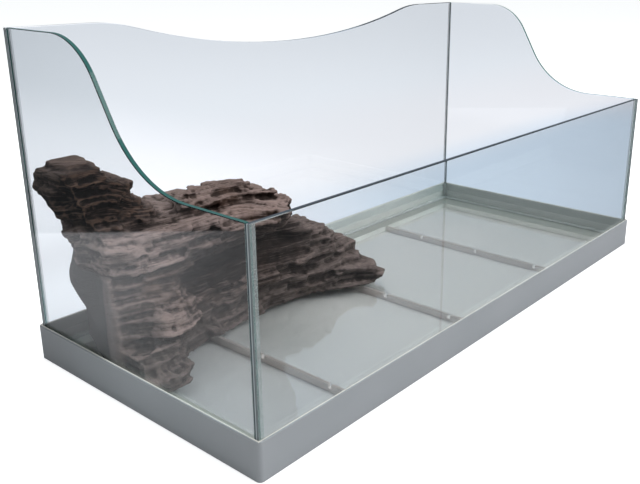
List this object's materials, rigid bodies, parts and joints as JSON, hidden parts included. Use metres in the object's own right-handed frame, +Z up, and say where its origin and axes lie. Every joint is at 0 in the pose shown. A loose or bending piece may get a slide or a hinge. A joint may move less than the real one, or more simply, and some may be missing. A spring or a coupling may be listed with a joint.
{
  "type": "turtle tank",
  "caption": "Low open glass tank with curved side and back tops on a moulded grey frame, with a layered basking rock and cave in one back corner.",
  "frame": {"origin": "on the table, under the middle of the base frame", "axes": "+X to the right along the front pane, +Y from the low front pane to the high back pane, +Z up"},
  "size_m": [0.8, 0.36, 0.365],
  "materials": {
    "frame_plastic": "satin moulded",
    "clear_glass": "polished float glass",
    "silicone": "clear silicone",
    "rock_resin": "cast stone look, matt"
  },
  "bodies": {
    "tank": {"base_frame": "frame_plastic", "floor_glass": "clear_glass", "front_glass": "clear_glass", "back_glass": "clear_glass", "left_glass": "clear_glass", "right_glass": "clear_glass", "frame_bond": "silicone", "floor_seal": "silicone", "corner_seal_front_left": "silicone", "corner_seal_front_right": "silicone", "corner_seal_back_left": "silicone", "corner_seal_back_right": "silicone"},
    "rock": {"rock_footing": "rock_resin", "rock_middle": "rock_resin", "rock_platform": "rock_resin", "rock_crest": "rock_resin", "rock_tower": "rock_resin", "rock_cap": "rock_resin"}
  },
  "joints": [
    {"name": "rock_lift", "type": "slide", "parent": "tank", "child": "rock", "axis": [0, 0, 1], "range_m": [0, 0.36]}
  ]
}
